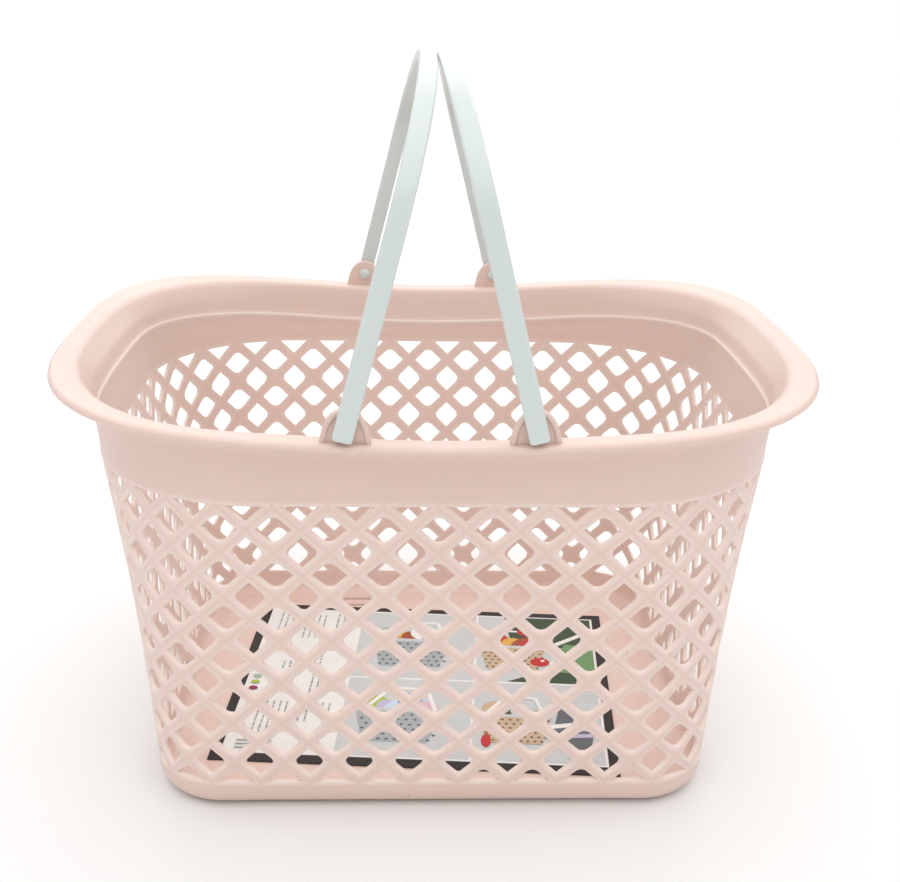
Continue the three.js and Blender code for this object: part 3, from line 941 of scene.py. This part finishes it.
def drawPanels(sheet, random):
    # a white field with four pale panels, and on them baskets, round fruit, leaves and strokes
    x0, x1 = -card["length"] / 2 + card["border"], card["length"] / 2 - card["border"]
    y0, y1 = -card["depth"] / 2 + card["frontBorder"], card["depth"] / 2 - card["border"]
    line, split, divider, middle = card["line"], card["split"], card["divider"], card["middle"]
    sheet.box(x0, y0, x1, y1, "white")
    sheet.box(split, y0 + line, divider - line / 2, middle - line / 2, "pale")
    sheet.box(split, middle + line / 2, divider - line / 2, y1 - line, "pale")
    sheet.box(divider + line / 2, y0 + line, x1 - line, middle - line / 2, "pale")
    sheet.box(divider + line / 2, middle + line / 2, x1 - line, y1 - line, "pale")
    drawBasket(sheet, -0.010, 0.036, 0.050, "grey", ["grey", "amber", "rust", "white", "grey"], random)
    drawBasket(sheet, -0.012, -0.046, 0.050, "grey", ["lime", "lilac", "sky", "blue", "pink"], random)
    sheet.shape([(0.052, 0.052), (x1 - line, 0.040), (x1 - line, y1 - line), (0.048, y1 - line)], "forest")
    sheet.shape([(0.072, 0.008), (x1 - line, 0.004), (x1 - line, 0.046), (0.086, 0.050)], "leaf")
    sheet.bar(0.070, 0.040, x1 - line, 0.068, 0.0035, "white")
    sheet.bar(0.076, 0.024, x1 - line, 0.050, 0.0030, "white")
    sheet.shape([(0.050, 0.002), (x1 - line, 0.002), (x1 - line, 0.012), (0.074, 0.016)], "forest")
    drawBasket(sheet, 0.053, 0.034, 0.042, "straw", ["red", "red", "amber", "rust", "red"], random)
    for x, y, r in ((0.041, 0.060, 0.0075), (0.063, 0.064, 0.0070), (0.084, 0.034, 0.0065),
                    (0.070, 0.026, 0.0060)):
        sheet.disc(x, y, r, r * 0.85, "red")
        sheet.disc(x + r * 0.3, y + r * 0.3, r * 0.22, r * 0.2, "white", steps=10)
    drawBasket(sheet, 0.054, -0.046, 0.042, "straw", ["straw", "amber", "forest", "pale", "dark"], random)
    sheet.shape([(0.074, -0.062), (0.096, -0.070), (0.100, -0.040), (0.080, -0.026)], "dark")
    sheet.bar(0.074, -0.046, 0.100, -0.040, 0.0040, "white")
    sheet.bar(0.074, -0.056, 0.098, -0.053, 0.0035, "lilac")
    sheet.disc(0.0385, -0.062, 0.0028, 0.0062, "red")
    sheet.bar(0.0385, -0.058, 0.0388, -0.048, 0.0016, "rust")
    sheet.disc(0.090, -0.074, 0.0060, 0.0050, "lilac")


def printMaterial():
    # board with its colors in the mesh's ink attribute, dulled in patches
    material = bpy.data.materials.new("printedBoard")
    material.use_nodes = True
    tree = material.node_tree
    shader = tree.nodes["Principled BSDF"]
    ink = tree.nodes.new("ShaderNodeAttribute")
    ink.attribute_name = "ink"
    place = tree.nodes.new("ShaderNodeTexCoord").outputs["Object"]
    patches = addNode(tree, "ShaderNodeTexNoise", Vector=place, Scale=55.0, Detail=3.0)
    worn = addMix(tree, patches.outputs["Fac"], ink.outputs["Color"], (0.86, 0.86, 0.86, 1), "MULTIPLY")
    tree.links.new(worn, shader.inputs["Base Color"])
    shader.inputs["Roughness"].default_value = 0.42
    shader.inputs["Specular IOR Level"].default_value = 0.3
    return material


def makeCard():
    # a sheet with four sides and a back, its print laid on top, turned about its middle
    low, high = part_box("card_insert")
    centre, turn = (low + high) / 2, math.radians(card["turn"])
    thickness = high.z - low.z - card["room"]
    x, y = card["length"] / 2, card["depth"] / 2
    sheet, random = Print(), np.random.default_rng(7)
    corners = [(-x, -y), (x, -y), (x, y), (-x, y)]
    sheet.shape(corners, "black")
    drawPanels(sheet, random)
    printLines(sheet, random)
    points = np.array(sheet.points)
    count = len(points)
    points = np.concatenate([points, [(a, b, -thickness) for a, b in corners]])
    sides = [[i, (i + 1) % 4, count + (i + 1) % 4, count + i][::-1] for i in range(4)]
    faces = sheet.faces + sides + [[count + 3, count + 2, count + 1, count]]
    colors = sheet.colors + [inks["black"]] * 5
    worldX = centre.x + points[:, 0] * math.cos(turn) - points[:, 1] * math.sin(turn)
    worldY = centre.y + points[:, 0] * math.sin(turn) + points[:, 1] * math.cos(turn)
    flat = np.stack([worldX, worldY, low.z + thickness + points[:, 2]], -1)
    mesh = bpy.data.meshes.new("printedCard")
    mesh.from_pydata(flat.tolist(), [], faces)
    tint = mesh.attributes.new("ink", "FLOAT_COLOR", "CORNER")
    shades = np.repeat(np.array(colors), [len(face) for face in faces], axis=0)
    tint.data.foreach_set("color", np.concatenate([shades, np.ones((len(shades), 1))], 1).ravel())
    mesh.materials.append(printMaterial())
    piece = bpy.data.objects.new("printedCard", mesh)
    bpy.context.scene.collection.objects.link(piece)
    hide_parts("card_insert")
    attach(piece, "basket")


makeCard()
print("card done")

# floor and light

studio = dict(
    floor=(0.85, 0.85, 0.85),
    sky=0.56,              # even light from everywhere
    top=1.95,              # broad light from above
    topSpread=95,          # in degrees
    front=0.14,            # weaker light from behind the camera
    sheen=16.0,            # a panel behind the basket that gives its rim a soft shine
    sheenSize=(2.6, 1.4),
    sheenPlace=(0, 2.2, 1.25),
    sheenAim=(0, 0, 0.2),
)


def sunLight(name, place, energy, spread):
    # shines from its place towards the origin
    data = bpy.data.lights.new(name, "SUN")
    data.energy = energy
    data.angle = math.radians(spread)
    light = bpy.data.objects.new(name, data)
    light.location = place
    light.rotation_euler = (-Vector(place)).to_track_quat("-Z", "Y").to_euler()
    bpy.context.scene.collection.objects.link(light)


def sheenPanel():
    data = bpy.data.lights.new("backSheen", "AREA")
    data.shape = "RECTANGLE"
    data.size, data.size_y = studio["sheenSize"]
    data.energy = studio["sheen"]
    panel = bpy.data.objects.new("backSheen", data)
    panel.location = studio["sheenPlace"]
    aim = Vector(studio["sheenAim"]) - panel.location
    panel.rotation_euler = aim.to_track_quat("-Z", "Y").to_euler()
    bpy.context.scene.collection.objects.link(panel)


def makeStudio():
    # a wide pale floor just under the basket, an even sky, two suns and the panel
    bpy.ops.mesh.primitive_plane_add(size=60, location=(0, 0, cadBox[0][2] - 0.0002))
    floor = bpy.context.object
    floor.name = "studioFloor"
    material = bpy.data.materials.new("paleFloor")
    material.use_nodes = True
    shader = material.node_tree.nodes["Principled BSDF"]
    shader.inputs["Base Color"].default_value = (*studio["floor"], 1)
    shader.inputs["Roughness"].default_value = 0.9
    shader.inputs["Specular IOR Level"].default_value = 0.0
    floor.data.materials.append(material)
    world = bpy.data.worlds.new("studio")
    world.use_nodes = True
    background = world.node_tree.nodes["Background"]
    background.inputs["Color"].default_value = (1, 1, 1, 1)
    background.inputs["Strength"].default_value = studio["sky"]
    bpy.context.scene.world = world
    sunLight("overhead", (0.1, -0.15, 2.0), studio["top"], studio["topSpread"])
    sunLight("frontFill", (-0.5, -2.0, 1.0), studio["front"], 60)
    sheenPanel()


makeStudio()
bpy.context.scene.view_settings.view_transform = "Standard"
